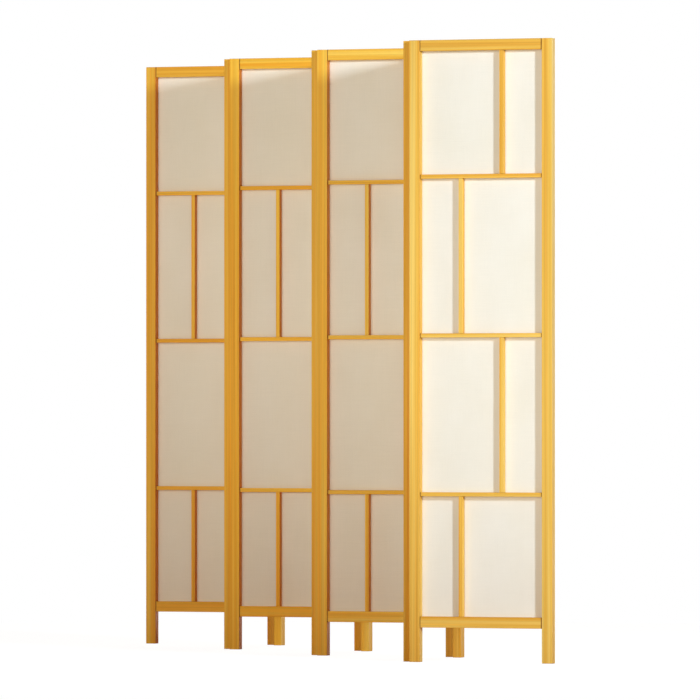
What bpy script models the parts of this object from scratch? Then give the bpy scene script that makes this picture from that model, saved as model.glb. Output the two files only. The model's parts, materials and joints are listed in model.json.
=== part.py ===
"""Folding room divider: seven hinged wooden panels, each a frame with a lattice and a cloth behind it.

World frame, in metres: X runs along the screen, Y through its depth, Z up. The origin is on the floor, under
the middle of the screen. Each panel has its own frame: x from its left edge to its right edge, y from its
front face to its back face, z up from the floor.
"""

from math import pi, radians

import bmesh
import bpy
from mathutils import Matrix, Vector

# Panels
PANEL_COUNT = 7
HEIGHT = 1.800
WIDTH = 0.440
DEPTH = 0.025
STILE_WIDTH = 0.032
RAIL_HEIGHT = 0.032
LEG_HEIGHT = 0.100          # clear height under the bottom rail
FOLD_ANGLE = radians(90)    # between neighbouring panels as the screen stands
GAP = 0.0003                # between pieces that touch

# Mortise and tenon joints between rails and stiles
TENON_LENGTH = 0.018
TENON_DEPTH = 0.010
TENON_HEIGHT = 0.020

# Lattice in front of the cloth
BAR_WIDTH = 0.012
BAR_DEPTH = 0.018
BAR_SETBACK = 0.0035        # from the frame's front to the bars' front
CROSS_BAR_HEIGHTS = (1.405, 0.945, 0.4855)
UPRIGHT_THIRDS = (2, 1, 2, 1)   # where each cell's upright stands in the opening, from the top cell

# Cloth
CLOTH_THICKNESS = 0.001

# Hinge: at the middle of each fold, on the faces that the fold closes together
HINGE_HEIGHT = 0.056
HINGE_MIDDLE = 0.950        # from the floor to the hinge's middle
FOLD_GAP = 0.003            # between two panels' edges when they are in line
AXIS_STANDOFF = 0.003       # from a panel's face to the hinge axis
LEAF_WIDTH = 0.020
LEAF_THICKNESS = 0.0012
LEAF_START = 0.0029         # from the axis to the plate's near edge
TAB_START = 0.0012          # from the axis to the near edge of the tab that carries a knuckle
KNUCKLE_RADIUS = 0.0026
BORE_RADIUS = 0.00175
PIN_RADIUS = 0.00145
PIN_HEAD_RADIUS = 0.0023
PIN_HEAD_HEIGHT = 0.0012
SCREW_HOLES = ((0.009, 0.021), (0.0165, 0.0085))    # from the axis, and above and below the hinge's middle
SCREW_HOLE_RADIUS = 0.0013
COUNTERSINK_RADIUS = 0.0026
ROUND_SEGMENTS = 16
HOLE_SEGMENTS = 12

# Worked out from the above
RAIL_LENGTH = WIDTH - 2 * STILE_WIDTH - 2 * GAP
OPENING_LEFT = STILE_WIDTH + GAP
OPENING_WIDTH = WIDTH - 2 * STILE_WIDTH
OPENING_TOP = HEIGHT - RAIL_HEIGHT - GAP
OPENING_BOTTOM = LEG_HEIGHT + RAIL_HEIGHT + GAP
TOP_RAIL_MIDDLE = HEIGHT - RAIL_HEIGHT / 2
BOTTOM_RAIL_MIDDLE = LEG_HEIGHT + RAIL_HEIGHT / 2
BAR_BACK = BAR_SETBACK + BAR_DEPTH
KNUCKLE_PITCH = HINGE_HEIGHT / 3


def clear_scene():
    for item in list(bpy.data.objects):
        bpy.data.objects.remove(item, do_unlink=True)


def new_collection(name):
    collection = bpy.data.collections.new(name)
    bpy.context.scene.collection.children.link(collection)
    return collection


def principled(name, colour, roughness, metallic=0.0):
    material = bpy.data.materials.new(name)
    material.use_nodes = True
    shader = material.node_tree.nodes["Principled BSDF"]
    shader.inputs["Base Color"].default_value = (*colour, 1)
    shader.inputs["Roughness"].default_value = roughness
    shader.inputs["Metallic"].default_value = metallic
    return material


def place(name, mesh, collection, parent=None, location=(0, 0, 0), rotation=(0, 0, 0)):
    piece = bpy.data.objects.new(name, mesh)
    collection.objects.link(piece)
    piece.parent = parent
    piece.location = location
    piece.rotation_euler = rotation
    return piece


def mesh_from(name, shape):
    mesh = bpy.data.meshes.new(name)
    shape.to_mesh(mesh)
    shape.free()
    return mesh


def boxes(name, *corners):
    """One mesh of boxes that stand clear of each other, each given by its lowest and highest corner."""
    shape = bmesh.new()
    for low, high in corners:
        low, high = Vector(low), Vector(high)
        size = Matrix.Diagonal((*(high - low), 1))
        bmesh.ops.create_cube(shape, size=1, matrix=Matrix.Translation((low + high) / 2) @ size)
    return mesh_from(name, shape)


def upright_cylinder(name, radius, length, middle=0.0):
    shape = bmesh.new()
    bmesh.ops.create_cone(shape, cap_ends=True, segments=ROUND_SEGMENTS, radius1=radius, radius2=radius,
                          depth=length, matrix=Matrix.Translation((0, 0, middle)))
    return mesh_from(name, shape)


def countersinks(name, front, back):
    """Tapered cutters along y for a leaf's screws, wide at its front and a little longer than it is thick."""
    slope = (COUNTERSINK_RADIUS - SCREW_HOLE_RADIUS) / (front - back)
    depth = front - back + 2 * GAP
    shape = bmesh.new()
    for distance, height in SCREW_HOLES:
        for side in (-1, 1):
            place_and_turn = (Matrix.Translation((distance, (front + back) / 2, side * height))
                              @ Matrix.Rotation(-pi / 2, 4, "X"))
            bmesh.ops.create_cone(shape, cap_ends=True, segments=HOLE_SEGMENTS, matrix=place_and_turn,
                                  radius1=SCREW_HOLE_RADIUS - slope * GAP,
                                  radius2=COUNTERSINK_RADIUS + slope * GAP, depth=depth)
    return mesh_from(name, shape)


def helper(mesh, cutters):
    """A blank or cutter: an object that shapes pieces and isn't one itself."""
    item = place(mesh.name, mesh, cutters)
    item.hide_render = True
    item.display_type = "WIRE"
    return item


def combine(blank, tool_mesh, operation, cutters):
    modifier = blank.modifiers.new(tool_mesh.name, "BOOLEAN")
    modifier.object = helper(tool_mesh, cutters)
    modifier.operation = operation
    modifier.solver = "EXACT"


def evaluated_mesh(item, material, smooth=False):
    bpy.context.view_layer.update()
    evaluated = item.evaluated_get(bpy.context.evaluated_depsgraph_get())
    mesh = bpy.data.meshes.new_from_object(evaluated)
    mesh.materials.append(material)
    if smooth:
        mesh.shade_smooth()
        mesh.set_sharp_from_angle(angle=radians(40))
    return mesh


def stile_mesh(material, cutters):
    """A stile standing on its sole's middle, with its two mortises open towards +x."""
    half_width, half_depth = STILE_WIDTH / 2, DEPTH / 2
    body = ((-half_width, -half_depth, 0), (half_width, half_depth, HEIGHT))
    blank = helper(boxes("stile_blank", body), cutters)
    mortise_start = half_width + GAP - TENON_LENGTH - GAP
    mortise_half_depth = TENON_DEPTH / 2 + GAP
    mortise_half_height = TENON_HEIGHT / 2 + GAP
    mortises = [((mortise_start, -mortise_half_depth, middle - mortise_half_height),
                 (half_width + GAP, mortise_half_depth, middle + mortise_half_height))
                for middle in (BOTTOM_RAIL_MIDDLE, TOP_RAIL_MIDDLE)]
    combine(blank, boxes("mortises", *mortises), "DIFFERENCE", cutters)
    return evaluated_mesh(blank, material)


def rail_mesh(material, cutters):
    """A rail about its own middle, along x, with a tenon on each end."""
    half_length, half_depth, half_height = RAIL_LENGTH / 2, DEPTH / 2, RAIL_HEIGHT / 2
    blank = helper(boxes("rail_blank", ((-half_length, -half_depth, -half_height),
                                        (half_length, half_depth, half_height))), cutters)
    reach = half_length + TENON_LENGTH
    tenon = ((-reach, -TENON_DEPTH / 2, -TENON_HEIGHT / 2), (reach, TENON_DEPTH / 2, TENON_HEIGHT / 2))
    combine(blank, boxes("tenons", tenon), "UNION", cutters)
    return evaluated_mesh(blank, material)


def lattice_mesh(material, cutters):
    """Three cross bars and an upright in each cell, let in and glued into one grid."""
    half_bar = BAR_WIDTH / 2
    cross_bars = [((OPENING_LEFT, BAR_SETBACK, height - half_bar),
                   (WIDTH - OPENING_LEFT, BAR_BACK, height + half_bar)) for height in CROSS_BAR_HEIGHTS]
    blank = helper(boxes("cross_bars", *cross_bars), cutters)
    tops = (OPENING_TOP, *CROSS_BAR_HEIGHTS)
    bottoms = (*CROSS_BAR_HEIGHTS, OPENING_BOTTOM)
    for cell, (third, top, bottom) in enumerate(zip(UPRIGHT_THIRDS, tops, bottoms), start=1):
        middle = STILE_WIDTH + OPENING_WIDTH * third / 3
        upright = ((middle - half_bar, BAR_SETBACK, bottom), (middle + half_bar, BAR_BACK, top))
        combine(blank, boxes(f"upright_{cell}", upright), "UNION", cutters)
    return evaluated_mesh(blank, material)


def cloth_mesh(material):
    """The stretched cloth, just behind the lattice, in the panel's own frame."""
    front = BAR_BACK + GAP
    mesh = boxes("cloth", ((OPENING_LEFT, front, OPENING_BOTTOM),
                           (WIDTH - OPENING_LEFT, front + CLOTH_THICKNESS, OPENING_TOP)))
    mesh.materials.append(material)
    return mesh


def leaf_mesh(name, own_knuckles, material, cutters):
    """A hinge leaf: a plate towards +x of its axis, which is z, and lying on wood towards -y.

    A knuckle's number is its place above the hinge's middle: -1, 0 or 1.
    """
    back = GAP - AXIS_STANDOFF
    front = back + LEAF_THICKNESS
    half_height = HINGE_HEIGHT / 2
    plate = ((LEAF_START, back, -half_height), (LEAF_START + LEAF_WIDTH, front, half_height))
    blank = helper(boxes(f"{name}_plate", plate), cutters)
    half_knuckle = (KNUCKLE_PITCH - GAP) / 2
    overlap = 0.1 * LEAF_WIDTH
    for number in own_knuckles:
        middle = number * KNUCKLE_PITCH
        tab = ((TAB_START, back, middle - half_knuckle), (LEAF_START + overlap, front, middle + half_knuckle))
        combine(blank, boxes(f"{name}_tab_{number}", tab), "UNION", cutters)
        knuckle = upright_cylinder(f"{name}_knuckle_{number}", KNUCKLE_RADIUS, 2 * half_knuckle, middle)
        combine(blank, knuckle, "UNION", cutters)
    combine(blank, upright_cylinder(f"{name}_bore", BORE_RADIUS, 2 * HINGE_HEIGHT), "DIFFERENCE", cutters)
    combine(blank, countersinks(f"{name}_screw_holes", front, back), "DIFFERENCE", cutters)
    return evaluated_mesh(blank, material, smooth=True)


def pin_mesh(material, cutters):
    """A turned hinge pin about z, with a head on top."""
    top = HINGE_HEIGHT / 2 + GAP
    outline = [(0, top + PIN_HEAD_HEIGHT), (PIN_HEAD_RADIUS, top + PIN_HEAD_HEIGHT), (PIN_HEAD_RADIUS, top),
               (PIN_RADIUS, top), (PIN_RADIUS, -HINGE_HEIGHT / 2), (0, -HINGE_HEIGHT / 2)]
    shape = bmesh.new()
    points = [shape.verts.new((radius, 0, height)) for radius, height in outline]
    for upper, lower in zip(points, points[1:]):
        shape.edges.new((upper, lower))
    blank = helper(mesh_from("pin_outline", shape), cutters)
    screw = blank.modifiers.new("turn", "SCREW")
    screw.steps = screw.render_steps = ROUND_SEGMENTS
    screw.use_merge_vertices = True
    screw.merge_threshold = 0.00001
    return evaluated_mesh(blank, material, smooth=True)


def folds_forward(fold):
    """Odd folds close their panels' front faces together, even folds their back faces."""
    return fold % 2 == 1


def axis_depth(fold):
    """A fold's hinge axis in its panels' own y."""
    return -AXIS_STANDOFF if folds_forward(fold) else DEPTH + AXIS_STANDOFF


def right_axis(fold):
    """A fold's axis in the frame of the panel to its left, relative to the panel's front left corner."""
    return Vector((WIDTH + FOLD_GAP / 2, axis_depth(fold), 0))


def left_axis(fold):
    """A fold's axis in the frame of the panel to its right, relative to the panel's front left corner."""
    return Vector((-FOLD_GAP / 2, axis_depth(fold), 0))


def panel_empties(collection):
    """One empty for each panel: the first at its corner, the others on the fold's axis at their left.

    Returns the empties, and each panel's front left corner relative to its empty.
    """
    empty = place("panel_1_corner", None, collection, rotation=(0, 0, FOLD_ANGLE / 2))
    empties, corners = [empty], [Vector((0, 0, 0))]
    for fold in range(1, PANEL_COUNT):
        turn = -FOLD_ANGLE if folds_forward(fold) else FOLD_ANGLE
        axis = corners[-1] + right_axis(fold)
        empties.append(place(f"fold_{fold}_axis", None, collection, empties[-1], axis, (0, 0, turn)))
        corners.append(-left_axis(fold))
    centre_on_origin(empties, corners)
    return empties, corners


def centre_on_origin(empties, corners):
    """Move the first empty so that the middle of the panels' plan is at the origin."""
    bpy.context.view_layer.update()
    plan = [empty.matrix_world @ (corner + Vector((x, y, 0)))
            for empty, corner in zip(empties, corners) for x in (0, WIDTH) for y in (0, DEPTH)]
    spans = [[point[axis] for point in plan] for axis in (0, 1)]
    middle = [(min(span) + max(span)) / 2 for span in spans]
    empties[0].location = (-middle[0], -middle[1], 0)


def add_panel(number, empty, corner, meshes, collection):
    """The six pieces of one panel."""
    half_depth = DEPTH / 2
    pieces = {
        "left_stile": ("stile", (STILE_WIDTH / 2, half_depth, 0), 0),
        "right_stile": ("stile", (WIDTH - STILE_WIDTH / 2, half_depth, 0), pi),
        "top_rail": ("rail", (WIDTH / 2, half_depth, TOP_RAIL_MIDDLE), 0),
        "bottom_rail": ("rail", (WIDTH / 2, half_depth, BOTTOM_RAIL_MIDDLE), 0),
        "lattice": ("lattice", (0, 0, 0), 0),
        "cloth": ("cloth", (0, 0, 0), 0),
    }
    for name, (mesh, offset, turn) in pieces.items():
        node = f"panel_{number}_{name}"
        place(node, meshes[mesh], collection, empty, corner + Vector(offset), (0, 0, turn))


def add_hinge(fold, empties, corners, meshes, collection):
    """The leaves and pin of one fold's hinge, on the faces that the fold closes together."""
    middle = Vector((0, 0, HINGE_MIDDLE))
    left_panel, right_panel = empties[fold - 1], empties[fold]
    on_left_panel = corners[fold - 1] + right_axis(fold) + middle
    left_turn, right_turn = ((0, 0, pi), (pi, 0, 0)) if folds_forward(fold) else ((0, pi, 0), (0, 0, 0))
    place(f"fold_{fold}_left_leaf", meshes["left_leaf"], collection, left_panel, on_left_panel, left_turn)
    place(f"fold_{fold}_right_leaf", meshes["right_leaf"], collection, right_panel, middle, right_turn)
    place(f"fold_{fold}_pin", meshes["pin"], collection, left_panel, on_left_panel)


def build_screen():
    clear_scene()
    screen = new_collection("folding_screen")
    cutters = new_collection("cutters")
    wood = principled("honey_lacquered_wood", (0.72, 0.36, 0.07), 0.42)
    cloth = principled("off_white_cloth", (0.86, 0.81, 0.71), 0.85)
    brass = principled("antique_brass", (0.55, 0.38, 0.17), 0.35, metallic=1.0)
    meshes = {
        "stile": stile_mesh(wood, cutters),
        "rail": rail_mesh(wood, cutters),
        "lattice": lattice_mesh(wood, cutters),
        "cloth": cloth_mesh(cloth),
        "left_leaf": leaf_mesh("left_leaf", (-1, 1), brass, cutters),
        "right_leaf": leaf_mesh("right_leaf", (0,), brass, cutters),
        "pin": pin_mesh(brass, cutters),
    }
    empties, corners = panel_empties(screen)
    for number, (empty, corner) in enumerate(zip(empties, corners), start=1):
        add_panel(number, empty, corner, meshes, screen)
    for fold in range(1, PANEL_COUNT):
        add_hinge(fold, empties, corners, meshes, screen)
    bpy.context.view_layer.update()


build_screen()
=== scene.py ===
"""Looks of the folding screen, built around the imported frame: lacquered wood, cloth and brass hinges.

Each panel has its own frame: x from its left edge to its right edge, y from its front face to its back
face, and z up from the floor. Pieces are built there and then turned into the row frame.
"""

import json
from math import cos, pi, radians, sin, tan

import bmesh
import bpy
import numpy as np
from mathutils import Matrix, Vector

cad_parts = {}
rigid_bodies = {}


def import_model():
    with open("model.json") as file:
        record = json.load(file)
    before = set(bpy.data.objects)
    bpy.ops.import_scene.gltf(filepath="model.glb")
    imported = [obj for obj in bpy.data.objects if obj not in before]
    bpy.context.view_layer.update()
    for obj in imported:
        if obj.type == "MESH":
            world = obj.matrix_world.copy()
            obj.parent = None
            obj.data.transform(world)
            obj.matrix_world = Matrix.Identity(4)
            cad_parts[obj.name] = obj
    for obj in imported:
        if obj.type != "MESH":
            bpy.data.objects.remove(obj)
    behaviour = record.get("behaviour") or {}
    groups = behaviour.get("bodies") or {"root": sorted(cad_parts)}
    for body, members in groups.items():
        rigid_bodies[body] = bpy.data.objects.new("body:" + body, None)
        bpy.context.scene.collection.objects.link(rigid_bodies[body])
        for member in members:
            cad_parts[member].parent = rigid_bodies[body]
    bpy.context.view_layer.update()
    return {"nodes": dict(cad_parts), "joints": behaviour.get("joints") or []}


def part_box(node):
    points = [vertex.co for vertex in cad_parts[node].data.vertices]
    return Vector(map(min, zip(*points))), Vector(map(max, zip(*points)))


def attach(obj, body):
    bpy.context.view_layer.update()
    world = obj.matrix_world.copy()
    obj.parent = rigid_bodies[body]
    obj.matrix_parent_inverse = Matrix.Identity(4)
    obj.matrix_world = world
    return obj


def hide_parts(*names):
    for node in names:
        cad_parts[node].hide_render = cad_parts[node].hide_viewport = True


# The panels, as the part has them
PANEL_COUNT = 7
HEADING = radians(45)       # of the odd panels; the even ones run at minus this
HEIGHT = 1.800
WIDTH = 0.440
DEPTH = 0.025
STILE_WIDTH = 0.032
RAIL_HEIGHT = 0.032
LEG_HEIGHT = 0.100
BAR_WIDTH = 0.012
BAR_FRONT = 0.0035
BAR_BACK = 0.0215
CROSS_BAR_HEIGHTS = (1.405, 0.945, 0.4855)
UPRIGHT_THIRDS = (2, 1, 2, 1)   # from the top cell
OPENING_WIDTH = WIDTH - 2 * STILE_WIDTH
OPENING_BOTTOM = LEG_HEIGHT + RAIL_HEIGHT
OPENING_TOP = HEIGHT - RAIL_HEIGHT
OPENING_HEIGHT = OPENING_TOP - OPENING_BOTTOM
SLIT = 0.0003               # between pieces that touch

# The hinges: the part has the middle one of each fold
HINGE_MIDDLE = 0.950
HINGE_SPACING = 0.700
LEAF_FRONT = 0.0015         # from the wood's face
AXIS_STANDOFF = 0.003       # from the wood's face
SCREW_HOLES = ((0.009, 0.021), (0.0165, 0.0085))    # from the axis, and above and below the hinge's middle
SCREW_SINK = 0.00005        # of the heads, below the leaf's front
SCREW_TIP_RADIUS = 0.0013
SCREW_HEAD_RADIUS = 0.00245
SCREW_HEAD_DEPTH = 0.0009
SCREW_DOME = 0.0001
SLOT_LENGTH = 0.0030
SLOT_WIDTH = 0.0006
SLOT_DEPTH = 0.0008         # half of it in the head

# Finishing
EDGE_RADIUS = 0.0011
BAR_EDGE_RADIUS = 0.0006
CLOTH_FRONT = 0.02205       # from the panel's front, like the bars and the beads
CLOTH_THICKNESS = 0.0005
CLOTH_CELL = 0.010
CLOTH_SLACK = 0.0006        # how far it lies back in the middle of a cell
CLOTH_WAVES = 5             # low waves over the whole cloth
CLOTH_WAVE_RELIEF = 0.00016
CLOTH_PULL_RELIEF = 0.00022     # of the small waves along its fixed edges
CLOTH_THREAD = 0.0011       # one thread over and one under
BEAD_WIDTH = 0.009
BEAD_FRONT = 0.0231
BEAD_BACK = 0.0248
BEAD_EDGE_RADIUS = 0.0003
BRAD_SPACING = 0.150
BRAD_SIZE = (0.0010, 0.0002, 0.0010)    # half of it each way

# Colours of the wood and cloth, as a display shows them, 0 to 255
WOOD_LIGHT = (249, 203, 84)
WOOD_MIDDLE = (244, 186, 60)
WOOD_DEEP = (237, 167, 43)
# Painted shade: the deep red-brown that the inner sides of panels 1, 3 and 5 are mixed towards, for the
# shade of the folds
WOOD_PAINTED_SIDE_SHADE = (208, 112, 8)
# Darker stained wood, also used as painted shade along the joints
WOOD_STAIN_AND_SHADE = (118, 62, 14)
CLOTH_PALE = (246, 240, 228)
CLOTH_WARM = (242, 235, 220)
JOINT_STAIN_AND_SHADE_REACH = 0.0042        # how far the darker staining and the painted shade along a joint reach
PAINTED_SIDE_SHADES = (0.90, 0.0, 0.85, 0.0, 0.80, 0.0, 0.0)    # how much painted shade each panel's inner sides get, for the shade of the folds
PANEL_TINTS_AND_LIGHT = (             # each panel's own wood tone, from the usual red, green and blue, and painted light: the last panel, in the key light, is paler than the shaded ones
    (0.97, 0.92, 0.84), (0.98, 0.95, 0.78), (1.06, 1.02, 0.78), (0.98, 1.00, 1.10),
    (1.03, 1.08, 1.25), (0.93, 0.90, 1.02), (0.95, 1.00, 1.50))

# Camera and lights
CAMERA_HEADING = radians(66.3)
CAMERA_PITCH = radians(0.414)
CAMERA_HEIGHT = 0.734
CAMERA_DISTANCE = 25.249    # along the view, from the first panel's front left edge
CAMERA_OFFSET = 0.637       # to the right of that edge
LENS = 415.75
KEY_HEADING = radians(10)
KEY_DISTANCE = 6.0          # from the last fold
KEY_RISE = tan(radians(8.7))
KEY_SIZE = 0.52
KEY_POWER = 312
KEY_COLOUR = (0.70, 0.84, 1.0)
WIDE_SPREAD = radians(40)
WIDE_COLOUR = (1.0, 0.968, 0.87)
FILL_FROM = (0.70, -0.72, 0.04)
FILL_POWER = 1.52
BACK_FROM = (-0.66, 0.75, 0.25)
BACK_POWER = 1.8
LEFT_FROM = (-0.72, -0.69, 0.12)
LEFT_POWER = 0.75

# Surroundings: what the camera sees, and what lights the object
WORLD_SEEN = (1, 1, 1)
AMBIENT = (0.110, 0.085, 0.058)
FLOOR_SEEN = (0.20, 0.20, 0.20)
FLOOR_GLOW = (0.93, 0.93, 0.93)
FLOOR_NEAR = (0.52, 0.22, 0.02)     # what it throws back, close to the screen and away from it
FLOOR_FAR = (0.80, 0.68, 0.54)
FLOOR_NEAR_REACH = (1.9, 0.8, 1.0)
FLOOR_RADIUS = 3.6
FLOOR_DROP = 0.0005


def linear(red, green, blue):
    """For a shader's socket, a colour given as a display shows it, 0 to 255."""
    shares = (value / 255 for value in (red, green, blue))
    return tuple(s / 12.92 if s <= 0.04045 else ((s + 0.055) / 1.055) ** 2.4 for s in shares)


# Materials

def mixed(tree, factor, first, second):
    """The first colour where the factor, a socket, is 0, and the second one where it is 1."""
    node = tree.nodes.new("ShaderNodeMix")
    node.data_type = "RGBA"
    tree.links.new(factor, node.inputs["Factor"])
    for socket, colour in ((node.inputs[6], first), (node.inputs[7], second)):
        if isinstance(colour, bpy.types.NodeSocket):
            tree.links.new(colour, socket)
        else:
            socket.default_value = (*colour, 1)
    return node.outputs[2]


class Nodes:
    """A material's node tree, with short calls to add to it."""

    def __init__(self, name):
        self.material = bpy.data.materials.new(name)
        self.material.use_nodes = True
        self.tree = self.material.node_tree
        self.shader = self.tree.nodes["Principled BSDF"]

    def add(self, kind, inputs=None, **settings):
        node = self.tree.nodes.new(kind)
        for name, value in settings.items():
            setattr(node, name, value)
        for name, value in (inputs or {}).items():
            if isinstance(value, bpy.types.NodeSocket):
                self.tree.links.new(value, node.inputs[name])
            else:
                node.inputs[name].default_value = value
        return node

    def stretched(self, turn, feature_size, middle=(0, 0, 0)):
        """Coordinates turned about z at middle, in which a noise of scale 1 has features of this size."""
        inputs = {"Vector": self.add("ShaderNodeTexCoord").outputs["Object"], "Location": middle,
                  "Rotation": (0, 0, turn), "Scale": feature_size}
        return self.add("ShaderNodeMapping", inputs, vector_type="TEXTURE").outputs["Vector"]

    def noise(self, where, detail=2.0, roughness=0.5):
        inputs = {"Vector": where, "Scale": 1.0, "Detail": detail, "Roughness": roughness}
        return self.add("ShaderNodeTexNoise", inputs).outputs["Fac"]

    def ramp(self, factor, *stops):
        """A colour ramp from (position, colour) stops."""
        node = self.add("ShaderNodeValToRGB", {"Fac": factor})
        elements = node.color_ramp.elements
        while len(elements) < len(stops):
            elements.new(0.5)
        for element, (position, colour) in zip(elements, stops):
            element.position = position
            element.color = (*colour, 1)
        return node.outputs["Color"]

    def level(self, value, low, high, to_low, to_high):
        inputs = {"Value": value, "From Min": low, "From Max": high, "To Min": to_low, "To Max": to_high}
        return self.add("ShaderNodeMapRange", inputs).outputs["Result"]

    def math(self, operation, *values):
        node = self.add("ShaderNodeMath", operation=operation)
        for socket, value in zip(node.inputs, values):
            if isinstance(value, bpy.types.NodeSocket):
                self.tree.links.new(value, socket)
            else:
                socket.default_value = value
        return node.outputs["Value"]

    def shade(self, colour, factor):
        """The colour times a factor."""
        node = self.add("ShaderNodeVectorMath", {0: colour}, operation="SCALE")
        self.tree.links.new(factor, node.inputs["Scale"])
        return node.outputs["Vector"]

    def mix(self, factor, first, second):
        return mixed(self.tree, factor, first, second)

    def bump(self, height, strength, distance, under=None):
        inputs = {"Height": height, "Strength": strength, "Distance": distance}
        if under is not None:
            inputs["Normal"] = under
        return self.add("ShaderNodeBump", inputs).outputs["Normal"]

    def feed(self, **links):
        for name, value in links.items():
            self.tree.links.new(value, self.shader.inputs[name.replace("_", " ")])

    def fix(self, **values):
        for name, value in values.items():
            self.shader.inputs[name.replace("_", " ")].default_value = value


def tinted(colour, tint):
    return tuple(share * change for share, change in zip(linear(*colour), tint))


def wood_material(name, turn, middle, upright, tint, painted_side_shade):
    """Honey-coloured lacquered softwood with its grain upright, or along the panel's width.

    Level pieces end at the stiles, stained darker along the joint, with painted shade there for its
    groove.
    Upright ones get painted shade on their sides within the panel, for the shade of the folds. Middle is
    the panel's middle.
    """
    nodes = Nodes(name)

    def grain(across, along):
        return nodes.stretched(turn, (across, across, along) if upright else (along, across, across))

    bands = nodes.noise(grain(across=0.013, along=1.2), detail=1.5, roughness=0.5)
    # The panel's tint is its own tone, and painted light where the lit last panel is made paler.
    colour = nodes.ramp(bands, (0.28, tinted(WOOD_DEEP, tint)), (0.50, tinted(WOOD_MIDDLE, tint)),
                        (0.72, tinted(WOOD_LIGHT, tint)))
    slow = nodes.noise(grain(across=0.11, along=0.9), detail=1.0)
    streaks = nodes.noise(grain(across=0.0042, along=0.9), detail=1.5, roughness=0.6)
    fibres = nodes.noise(grain(across=0.0011, along=0.10), detail=3.0, roughness=0.6)
    pores = nodes.noise(grain(across=0.0006, along=0.016), detail=1.0)
    shade = nodes.math("MULTIPLY", nodes.level(slow, 0.3, 0.7, 0.955, 1.055),
                       nodes.level(streaks, 0.3, 0.7, 0.90, 1.09))
    shade = nodes.math("MULTIPLY", shade, nodes.level(fibres, 0.25, 0.75, 0.955, 1.035))
    shade = nodes.math("MULTIPLY", shade, nodes.level(pores, 0.62, 0.74, 1.0, 0.91))
    place = nodes.add("ShaderNodeSeparateXYZ", {0: nodes.stretched(turn, (1, 1, 1), middle)})
    from_middle = nodes.math("ABSOLUTE", place.outputs["X"])
    opening_edge = OPENING_WIDTH / 2
    if upright:
        facing = nodes.add("ShaderNodeTexCoord").outputs["Normal"]
        along_panel = (cos(turn), sin(turn), 0)
        sideways = nodes.add("ShaderNodeVectorMath", {0: facing, 1: along_panel}, operation="DOT_PRODUCT")
        # Painted shade: on the panel's inner sides the wood goes towards a deep red-brown, for the shade
        # in the folds between panels.
        on_side = nodes.level(nodes.math("ABSOLUTE", sideways.outputs["Value"]), 0.5, 0.9, 0.0, 1.0)
        inside = nodes.level(from_middle, opening_edge + STILE_WIDTH / 4, WIDTH / 2 - STILE_WIDTH / 4,
                             painted_side_shade, 0.0)
        colour = nodes.mix(nodes.math("MULTIPLY", on_side, inside), colour, linear(*WOOD_PAINTED_SIDE_SHADE))
        upwards = nodes.add("ShaderNodeSeparateXYZ", {0: facing}).outputs["Z"]
        stain_and_shade = nodes.level(nodes.math("ABSOLUTE", upwards), 0.5, 0.9, 0.0, 0.5)
    else:
        # The rail's ends are stained darker towards the stiles, with painted shade there for the joint's
        # groove.
        stain_and_shade = nodes.level(from_middle, opening_edge - JOINT_STAIN_AND_SHADE_REACH, opening_edge - JOINT_STAIN_AND_SHADE_REACH / 3,
                            0.0, 0.85)
    colour = nodes.mix(stain_and_shade, nodes.shade(colour, shade), linear(*WOOD_STAIN_AND_SHADE))
    roughness = nodes.level(nodes.noise(grain(across=0.02, along=0.3)), 0.3, 0.7, 0.40, 0.52)
    normal = nodes.bump(fibres, 0.22, 0.0002)
    normal = nodes.bump(pores, 0.12, 0.0002, normal)
    nodes.feed(Base_Color=colour, Roughness=roughness, Normal=normal)
    nodes.fix(Coat_Weight=0.05, Coat_Roughness=0.28, Specular_IOR_Level=0.18)
    return nodes.material


def cloth_material(name, turn):
    """Off-white plain-woven cloth with slubs in both directions."""
    nodes = Nodes(name)
    thread = nodes.stretched(turn, (CLOTH_THREAD / (2 * pi),) * 3)
    axes = nodes.add("ShaderNodeSeparateXYZ", {0: thread})
    warp = nodes.math("SINE", axes.outputs["X"])
    weft = nodes.math("SINE", axes.outputs["Z"])
    weave = nodes.level(nodes.math("MULTIPLY", warp, weft), -1.0, 1.0, 0.0, 1.0)
    upright_slubs = nodes.noise(nodes.stretched(turn, (0.0013, 0.01, 0.075)), detail=2.0)
    level_slubs = nodes.noise(nodes.stretched(turn, (0.075, 0.01, 0.0013)), detail=2.0)
    clouds = nodes.noise(nodes.stretched(turn, (0.16, 0.16, 0.22)), detail=3.0)
    colour = nodes.mix(nodes.level(clouds, 0.3, 0.7, 0.0, 1.0), linear(*CLOTH_WARM), linear(*CLOTH_PALE))
    shade = nodes.math("MULTIPLY", nodes.level(upright_slubs, 0.3, 0.75, 0.985, 1.015),
                       nodes.level(level_slubs, 0.3, 0.75, 0.985, 1.015))
    shade = nodes.math("MULTIPLY", shade, nodes.level(weave, 0.0, 1.0, 0.965, 1.02))
    slubs = nodes.math("ADD", upright_slubs, level_slubs)
    normal = nodes.bump(weave, 0.35, 0.00012)
    normal = nodes.bump(slubs, 0.18, 0.00015, normal)
    nodes.feed(Base_Color=nodes.shade(colour, shade), Normal=normal)
    nodes.fix(Roughness=0.88, Sheen_Weight=0.15, Sheen_Roughness=0.5, Specular_IOR_Level=0.25)
    return nodes.material


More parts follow.
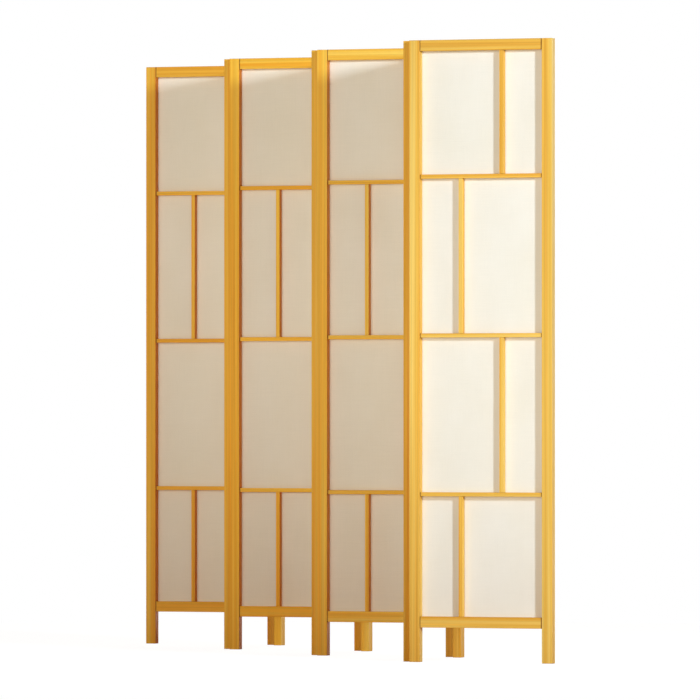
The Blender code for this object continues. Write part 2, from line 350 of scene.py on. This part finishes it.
def brass_material():
    """Brass with brown tarnish in clouds, rubbed brighter and smoother between them."""
    nodes = Nodes("aged_brass")
    wear = nodes.noise(nodes.stretched(0, (0.007, 0.007, 0.010)), detail=4.0, roughness=0.6)
    brushed = nodes.noise(nodes.stretched(0, (0.004, 0.004, 0.0004)), detail=2.0)
    colour = nodes.ramp(wear, (0.35, linear(120, 92, 52)), (0.60, linear(176, 142, 84)),
                        (0.75, linear(205, 176, 116)))
    nodes.feed(Base_Color=colour, Roughness=nodes.level(wear, 0.3, 0.7, 0.46, 0.28),
               Normal=nodes.bump(brushed, 0.12, 0.0001))
    nodes.fix(Metallic=1.0)
    return nodes.material


# Meshes

def add_rounded_box(shape, low, high, radius):
    """A box between two corners, with rounded edges."""
    low, high = Vector(low), Vector(high)
    size = Matrix.Diagonal((*(high - low), 1))
    made = bmesh.ops.create_cube(shape, size=1, matrix=Matrix.Translation((low + high) / 2) @ size)
    edges = {edge for vert in made["verts"] for edge in vert.link_edges}
    bmesh.ops.bevel(shape, geom=list(edges), offset=radius, segments=2, profile=0.5, affect="EDGES",
                    clamp_overlap=True)


def loose_object(name, shape):
    """An object in the scene, made of a bmesh, which it frees."""
    mesh = bpy.data.meshes.new(name)
    shape.to_mesh(mesh)
    shape.free()
    made = bpy.data.objects.new(name, mesh)
    bpy.context.scene.collection.objects.link(made)
    return made


def new_piece(name, shape, matrix, body, material):
    """A piece made of a bmesh in a panel's frame, put in the row frame and riding on its body."""
    piece = loose_object(name, shape)
    piece.data.transform(matrix)
    piece.data.materials.append(material)
    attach(piece, body)
    return piece


def panel_matrix(number):
    """From a panel's own frame to the row frame, from where its left stile stands."""
    low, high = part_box(f"panel_{number}_left_stile")
    sole = Matrix.Translation(((low.x + high.x) / 2, (low.y + high.y) / 2, 0))
    corner = Matrix.Translation((-STILE_WIDTH / 2, -DEPTH / 2, 0))
    return sole @ Matrix.Rotation(panel_heading(number), 4, "Z") @ corner


def panel_heading(number):
    return HEADING if number % 2 else -HEADING


def finish_frame_member(node, material):
    """Rounded edges and wood for a stile or rail, whose shape is the part's."""
    node.material_slots[0].material = material
    weld = node.modifiers.new("weld", "WELD")
    weld.merge_threshold = 0.00001
    bevel = node.modifiers.new("eased_edges", "BEVEL")
    bevel.limit_method = "ANGLE"
    bevel.angle_limit = radians(40)
    bevel.width = EDGE_RADIUS
    bevel.segments = 3


def upright_middles():
    return [STILE_WIDTH + OPENING_WIDTH * third / 3 for third in UPRIGHT_THIRDS]


def cross_bars():
    shape = bmesh.new()
    for height in CROSS_BAR_HEIGHTS:
        add_rounded_box(shape, (STILE_WIDTH + SLIT, BAR_FRONT, height - BAR_WIDTH / 2),
                        (WIDTH - STILE_WIDTH - SLIT, BAR_BACK, height + BAR_WIDTH / 2), BAR_EDGE_RADIUS)
    return shape


def upright_bars():
    shape = bmesh.new()
    tops = (OPENING_TOP, *(height - BAR_WIDTH / 2 for height in CROSS_BAR_HEIGHTS))
    bottoms = (*(height + BAR_WIDTH / 2 for height in CROSS_BAR_HEIGHTS), OPENING_BOTTOM)
    for middle, top, bottom in zip(upright_middles(), tops, bottoms):
        add_rounded_box(shape, (middle - BAR_WIDTH / 2, BAR_FRONT, bottom + SLIT),
                        (middle + BAR_WIDTH / 2, BAR_BACK, top - SLIT), BAR_EDGE_RADIUS)
    return shape


def from_nearest(values, places):
    """How far each value is from the nearest of these places."""
    return np.min([np.abs(values - place) for place in places], axis=0)


def cloth_relief(x, z, seed):
    """How far the cloth lies behind its flat plane: slack in each cell, and pulls from its fixed edges."""
    random = np.random.default_rng(seed)
    left, right = STILE_WIDTH, WIDTH - STILE_WIDTH
    from_side = from_nearest(x, (left, right))
    from_end = from_nearest(z, (OPENING_BOTTOM, OPENING_TOP))
    from_cross_bar = from_nearest(z, (*CROSS_BAR_HEIGHTS, OPENING_BOTTOM, OPENING_TOP))
    cells = (OPENING_TOP, *CROSS_BAR_HEIGHTS, OPENING_BOTTOM)
    from_bar = np.minimum(from_side, from_cross_bar)
    for middle, top, bottom in zip(upright_middles(), cells, cells[1:]):
        beside = np.where((z < top) & (z > bottom), np.abs(x - middle), 1.0)
        from_bar = np.minimum(from_bar, beside)
    free = np.clip((from_bar - BAR_WIDTH / 2) / 0.05, 0, 1)
    free = free * free * (3 - 2 * free)
    relief = CLOTH_SLACK * free
    for _ in range(CLOTH_WAVES):
        angle, phase = random.uniform(0, 2 * pi, 2)
        pitch = random.uniform(0.10, 0.26)
        wave = np.sin(2 * pi * (x * cos(angle) + z * sin(angle)) / pitch + phase)
        relief = relief + CLOTH_WAVE_RELIEF * free * wave
    for distance, along in ((from_end, x), (from_side, z)):
        pitch, phase = random.uniform(0.035, 0.050), random.uniform(0, 2 * pi)
        fade = np.exp(-distance / 0.035) * np.clip(distance / 0.012, 0, 1)
        relief = relief + CLOTH_PULL_RELIEF * fade * np.sin(2 * pi * along / pitch + phase)
    return relief


def stretched_cloth(seed):
    """A closed thin sheet over the whole opening, in its relief."""
    columns = round(OPENING_WIDTH / CLOTH_CELL)
    rows = round(OPENING_HEIGHT / CLOTH_CELL)
    shape = bmesh.new()
    size = Matrix.Diagonal((OPENING_WIDTH / 2, OPENING_HEIGHT / 2, 1, 1))
    place = Matrix.Translation((WIDTH / 2, CLOTH_FRONT, (OPENING_TOP + OPENING_BOTTOM) / 2))
    upright = place @ Matrix.Rotation(pi / 2, 4, "X") @ size
    bmesh.ops.create_grid(shape, x_segments=columns, y_segments=rows, size=1, matrix=upright)
    places = np.array([vert.co for vert in shape.verts])
    for vert, relief in zip(shape.verts, cloth_relief(places[:, 0], places[:, 2], seed)):
        vert.co.y += relief
    bmesh.ops.solidify(shape, geom=list(shape.faces), thickness=CLOTH_THICKNESS)
    return shape


def add_mitred_strip(shape, start, end, inward):
    """A retaining bead from start to end along the opening's edge, with its ends mitred towards inward."""
    along = (end - start).normalized()
    outer = [start, end]
    inner = [end + (inward - along) * BEAD_WIDTH, start + (inward + along) * BEAD_WIDTH]
    verts = [shape.verts.new(Vector((point.x, BEAD_FRONT, point.y))) for point in (*outer, *inner)]
    face = shape.faces.new(verts)
    raised = bmesh.ops.extrude_face_region(shape, geom=[face])
    lifted = [item for item in raised["geom"] if isinstance(item, bmesh.types.BMVert)]
    bmesh.ops.translate(shape, vec=(0, BEAD_BACK - BEAD_FRONT, 0), verts=lifted)


def opening_sides():
    """The ends of the opening's bottom, right, top and left sides and the way inward, each as (x, z)."""
    left, right = STILE_WIDTH, WIDTH - STILE_WIDTH
    corners = ((left, OPENING_BOTTOM), (right, OPENING_BOTTOM), (right, OPENING_TOP), (left, OPENING_TOP))
    inwards = ((0, 1), (-1, 0), (0, -1), (1, 0))
    ends = zip(corners, (*corners[1:], corners[0]))
    return [(Vector(start), Vector(end), Vector(inward)) for (start, end), inward in zip(ends, inwards)]


def retaining_beads(upright):
    """The two upright beads, or the two level ones."""
    bottom, right, top, left = opening_sides()
    shape = bmesh.new()
    for side in ((right, left) if upright else (bottom, top)):
        add_mitred_strip(shape, *side)
    bmesh.ops.recalc_face_normals(shape, faces=shape.faces)
    bmesh.ops.bevel(shape, geom=list(shape.edges), offset=BEAD_EDGE_RADIUS, segments=2, profile=0.5,
                    affect="EDGES")
    return shape


def brads():
    """Small domed nail heads along the middle of each bead."""
    shape = bmesh.new()
    for start, end, inward in opening_sides():
        count = round((end - start).length / BRAD_SPACING)
        for number in range(count):
            place = start.lerp(end, (number + 0.5) / count) + inward * BEAD_WIDTH / 2
            head = Matrix.Translation((place.x, BEAD_BACK, place.y)) @ Matrix.Diagonal((*BRAD_SIZE, 1))
            bmesh.ops.create_uvsphere(shape, u_segments=12, v_segments=6, radius=1, matrix=head)
    return shape


def screw_head_mesh():
    """A countersunk head with a crossed slot, its top at z = 0 facing +z."""
    shape = bmesh.new()
    bmesh.ops.create_cone(shape, cap_ends=True, segments=24, radius1=SCREW_TIP_RADIUS,
                          radius2=SCREW_HEAD_RADIUS, depth=SCREW_HEAD_DEPTH,
                          matrix=Matrix.Translation((0, 0, -SCREW_HEAD_DEPTH / 2)))
    top = max(shape.faces, key=lambda face: face.calc_center_median().z)
    bmesh.ops.inset_region(shape, faces=[top], thickness=0.0007, depth=SCREW_DOME)
    bmesh.ops.bevel(shape, geom=list(top.edges), offset=0.00015, segments=2, affect="EDGES")
    slots = bmesh.new()
    for size in ((SLOT_LENGTH, SLOT_WIDTH, SLOT_DEPTH), (SLOT_WIDTH, SLOT_LENGTH, SLOT_DEPTH)):
        bmesh.ops.create_cube(slots, size=1, matrix=Matrix.Diagonal((*size, 1)))
    head, cutter = loose_object("screw_head", shape), loose_object("crossed_slot", slots)
    cut = head.modifiers.new("slot", "BOOLEAN")
    cut.object = cutter
    cut.operation = "DIFFERENCE"
    cut.solver = "EXACT"
    cut.use_self = True
    bpy.context.view_layer.update()
    made = bpy.data.meshes.new_from_object(head.evaluated_get(bpy.context.evaluated_depsgraph_get()))
    for item in (head, cutter):
        bpy.data.objects.remove(item)
    return made


def screws(head, along, outward, axis, top, seed):
    """The four screws of each of a fold's three leaves on one panel, each turned its own way.

    Along and outward point from the axis, over the leaf and away from the wood. Top is how far the heads'
    tops are from the axis, outward.
    """
    random = np.random.default_rng(seed)
    shape = bmesh.new()
    sideways = outward.cross(along)
    basis = Matrix((along, sideways, outward)).transposed().to_4x4()
    for middle in (HINGE_MIDDLE - HINGE_SPACING, HINGE_MIDDLE, HINGE_MIDDLE + HINGE_SPACING):
        for distance, height in SCREW_HOLES:
            for side in (-1, 1):
                place = axis + along * distance + outward * top
                place.z = middle + side * height
                turn = Matrix.Rotation(random.uniform(0, pi / 2), 4, "Z")
                copy = bmesh.new()
                copy.from_mesh(head)
                copy.transform(Matrix.Translation(place) @ basis @ turn)
                mesh = bpy.data.meshes.new("screw_copy")
                copy.to_mesh(mesh)
                copy.free()
                shape.from_mesh(mesh)
                bpy.data.meshes.remove(mesh)
    return shape


# The object

def wood_materials(number):
    """The upright and the level wood of one panel."""
    turn, tint = panel_heading(number), PANEL_TINTS_AND_LIGHT[number - 1]
    painted_side_shade = PAINTED_SIDE_SHADES[number - 1]
    middle = panel_matrix(number) @ Vector((WIDTH / 2, 0, 0))
    return (wood_material(f"upright_wood_{number}", turn, middle, True, tint, painted_side_shade),
            wood_material(f"level_wood_{number}", turn, middle, False, tint, painted_side_shade))


def dress_panel(number, frame, brass):
    body = f"panel_{number}"
    matrix = panel_matrix(number)
    upright_wood, level_wood = wood_materials(number)
    for name, material in (("left_stile", upright_wood), ("right_stile", upright_wood),
                           ("top_rail", level_wood), ("bottom_rail", level_wood)):
        finish_frame_member(frame["nodes"][f"{body}_{name}"], material)

    lattice = f"{body}_lattice"
    level_bars = new_piece(f"{body}_cross_bars", cross_bars(), matrix, body, level_wood)
    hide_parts(lattice)
    standing_bars = new_piece(f"{body}_upright_bars", upright_bars(), matrix, body,
                              upright_wood)
    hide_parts(lattice)

    for name, upright, material in (("upright_beads", True, upright_wood),
                                    ("level_beads", False, level_wood)):
        new_piece(f"{body}_{name}", retaining_beads(upright), matrix, body, material)
    nails = new_piece(f"{body}_brads", brads(), matrix, body, brass)
    nails.data.shade_smooth()

    cloth = new_piece(f"{body}_stretched_cloth", stretched_cloth(seed=number), matrix, body,
                      cloth_material(f"woven_cloth_{number}", panel_heading(number)))
    cloth.data.shade_smooth()
    cloth.data.set_sharp_from_angle(angle=radians(35))
    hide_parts(f"{body}_cloth")


def dress_fold(joint, frame, head, brass):
    """The upper and lower hinges of a fold, copied from the middle one, and the screws of all three."""
    fold = int(joint["name"].split("_")[1])
    for name, body in (("left_leaf", joint["parent"]), ("right_leaf", joint["child"]),
                       ("pin", joint["parent"])):
        node = frame["nodes"][f"{joint['name']}_{name}"]
        node.material_slots[0].material = brass
        for place, rise in (("upper", HINGE_SPACING), ("lower", -HINGE_SPACING)):
            piece = bpy.data.objects.new(f"{joint['name']}_{place}_{name}", node.data.copy())
            piece.data.transform(Matrix.Translation((0, 0, rise)))
            bpy.context.scene.collection.objects.link(piece)
            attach(piece, body)
    closes_fronts = fold % 2 == 1
    axis = Vector(joint["pos_m"])
    screw_top = LEAF_FRONT - AXIS_STANDOFF - SCREW_SINK
    for side, panel, direction in (("left", fold, -1), ("right", fold + 1, 1)):
        turn = Matrix.Rotation(panel_heading(panel), 3, "Z")
        along = turn @ Vector((direction, 0, 0))
        outward = turn @ Vector((0, -1 if closes_fronts else 1, 0))
        shape = screws(head, along, outward, axis, screw_top, seed=10 * fold + panel)
        new_piece(f"{joint['name']}_{side}_screws", shape, Matrix.Identity(4), f"panel_{panel}",
                  brass)


# Camera and studio

def add_camera():
    corner = panel_matrix(1) @ Vector((0, 0, 0))
    rightward = Vector((cos(CAMERA_HEADING), sin(CAMERA_HEADING), 0))
    forward = Vector((-sin(CAMERA_HEADING), cos(CAMERA_HEADING), 0))
    camera = bpy.data.objects.new("camera", bpy.data.cameras.new("camera"))
    camera.location = corner + CAMERA_OFFSET * rightward - CAMERA_DISTANCE * forward
    camera.location.z = CAMERA_HEIGHT
    camera.rotation_euler = (pi / 2 + CAMERA_PITCH, 0, CAMERA_HEADING)
    camera.data.lens = LENS
    camera.data.clip_end = 2 * CAMERA_DISTANCE
    bpy.context.scene.collection.objects.link(camera)
    bpy.context.scene.camera = camera


def add_area_light(name, place, target, size, power, colour):
    light = bpy.data.objects.new(name, bpy.data.lights.new(name, "AREA"))
    light.data.size = size
    light.data.energy = power
    light.data.color = colour
    light.location = place
    light.rotation_euler = (Vector(target) - Vector(place)).to_track_quat("-Z", "Y").to_euler()
    bpy.context.scene.collection.objects.link(light)


def add_wide_light(name, place, power):
    """A light so far away that it is the same all over the object, and as soft as a wall of cloud."""
    light = bpy.data.objects.new(name, bpy.data.lights.new(name, "SUN"))
    light.data.angle = WIDE_SPREAD
    light.data.energy = power
    light.data.color = WIDE_COLOUR
    light.rotation_euler = Vector(place).to_track_quat("Z", "Y").to_euler()
    bpy.context.scene.collection.objects.link(light)


def add_lights():
    # The key shines along the screen and a little down, from beyond its right-hand end.
    last_fold = Vector(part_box("fold_6_pin")[0])
    key = last_fold + Vector((cos(KEY_HEADING), sin(KEY_HEADING), 0)) * KEY_DISTANCE
    key.z = HEIGHT + KEY_DISTANCE * KEY_RISE
    add_area_light("key", key, (last_fold.x, last_fold.y, HEIGHT / 2), KEY_SIZE, KEY_POWER, KEY_COLOUR)
    # Wide and even lights fall square on the odd panels' fronts and backs and on the even panels' fronts.
    add_wide_light("fill", FILL_FROM, FILL_POWER)
    add_wide_light("back", BACK_FROM, BACK_POWER)
    add_wide_light("left", LEFT_FROM, LEFT_POWER)


def camera_sees(tree, seen, thrown, socket):
    """Feeds a socket with one colour for the camera, and with another for the light it throws."""
    path = tree.nodes.new("ShaderNodeLightPath")
    tree.links.new(mixed(tree, path.outputs["Is Camera Ray"], thrown, seen), socket)


def add_world():
    world = bpy.data.worlds.new("studio")
    world.use_nodes = True
    tree = world.node_tree
    camera_sees(tree, WORLD_SEEN, AMBIENT, tree.nodes["Background"].inputs["Color"])
    bpy.context.scene.world = world


def floor_material():
    nodes = Nodes("pale_floor")
    where = nodes.add("ShaderNodeTexCoord").outputs["Object"]
    reach = nodes.add("ShaderNodeMapping", {"Vector": where, "Scale": FLOOR_NEAR_REACH},
                      vector_type="TEXTURE")
    nearness = nodes.add("ShaderNodeTexGradient", {"Vector": reach.outputs["Vector"]},
                         gradient_type="SPHERICAL")
    thrown = nodes.ramp(nearness.outputs["Fac"], (0.0, FLOOR_FAR), (0.45, FLOOR_NEAR))
    camera_sees(nodes.tree, FLOOR_SEEN, thrown, nodes.shader.inputs["Base Color"])
    camera_sees(nodes.tree, FLOOR_GLOW, (0, 0, 0), nodes.shader.inputs["Emission Color"])
    nodes.fix(Roughness=1.0, Specular_IOR_Level=0.0, Emission_Strength=1.0)
    return nodes.material


def add_floor():
    shape = bmesh.new()
    bmesh.ops.create_circle(shape, cap_ends=True, segments=96, radius=FLOOR_RADIUS)
    floor = loose_object("floor", shape)
    floor.location.z = -FLOOR_DROP
    floor.data.materials.append(floor_material())


def main():
    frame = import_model()
    bpy.context.scene.view_settings.view_transform = "Standard"
    add_camera()
    brass = brass_material()
    head = screw_head_mesh()
    for number in range(1, PANEL_COUNT + 1):
        dress_panel(number, frame, brass)
    for joint in frame["joints"]:
        dress_fold(joint, frame, head, brass)
    add_lights()
    add_world()
    add_floor()


main()
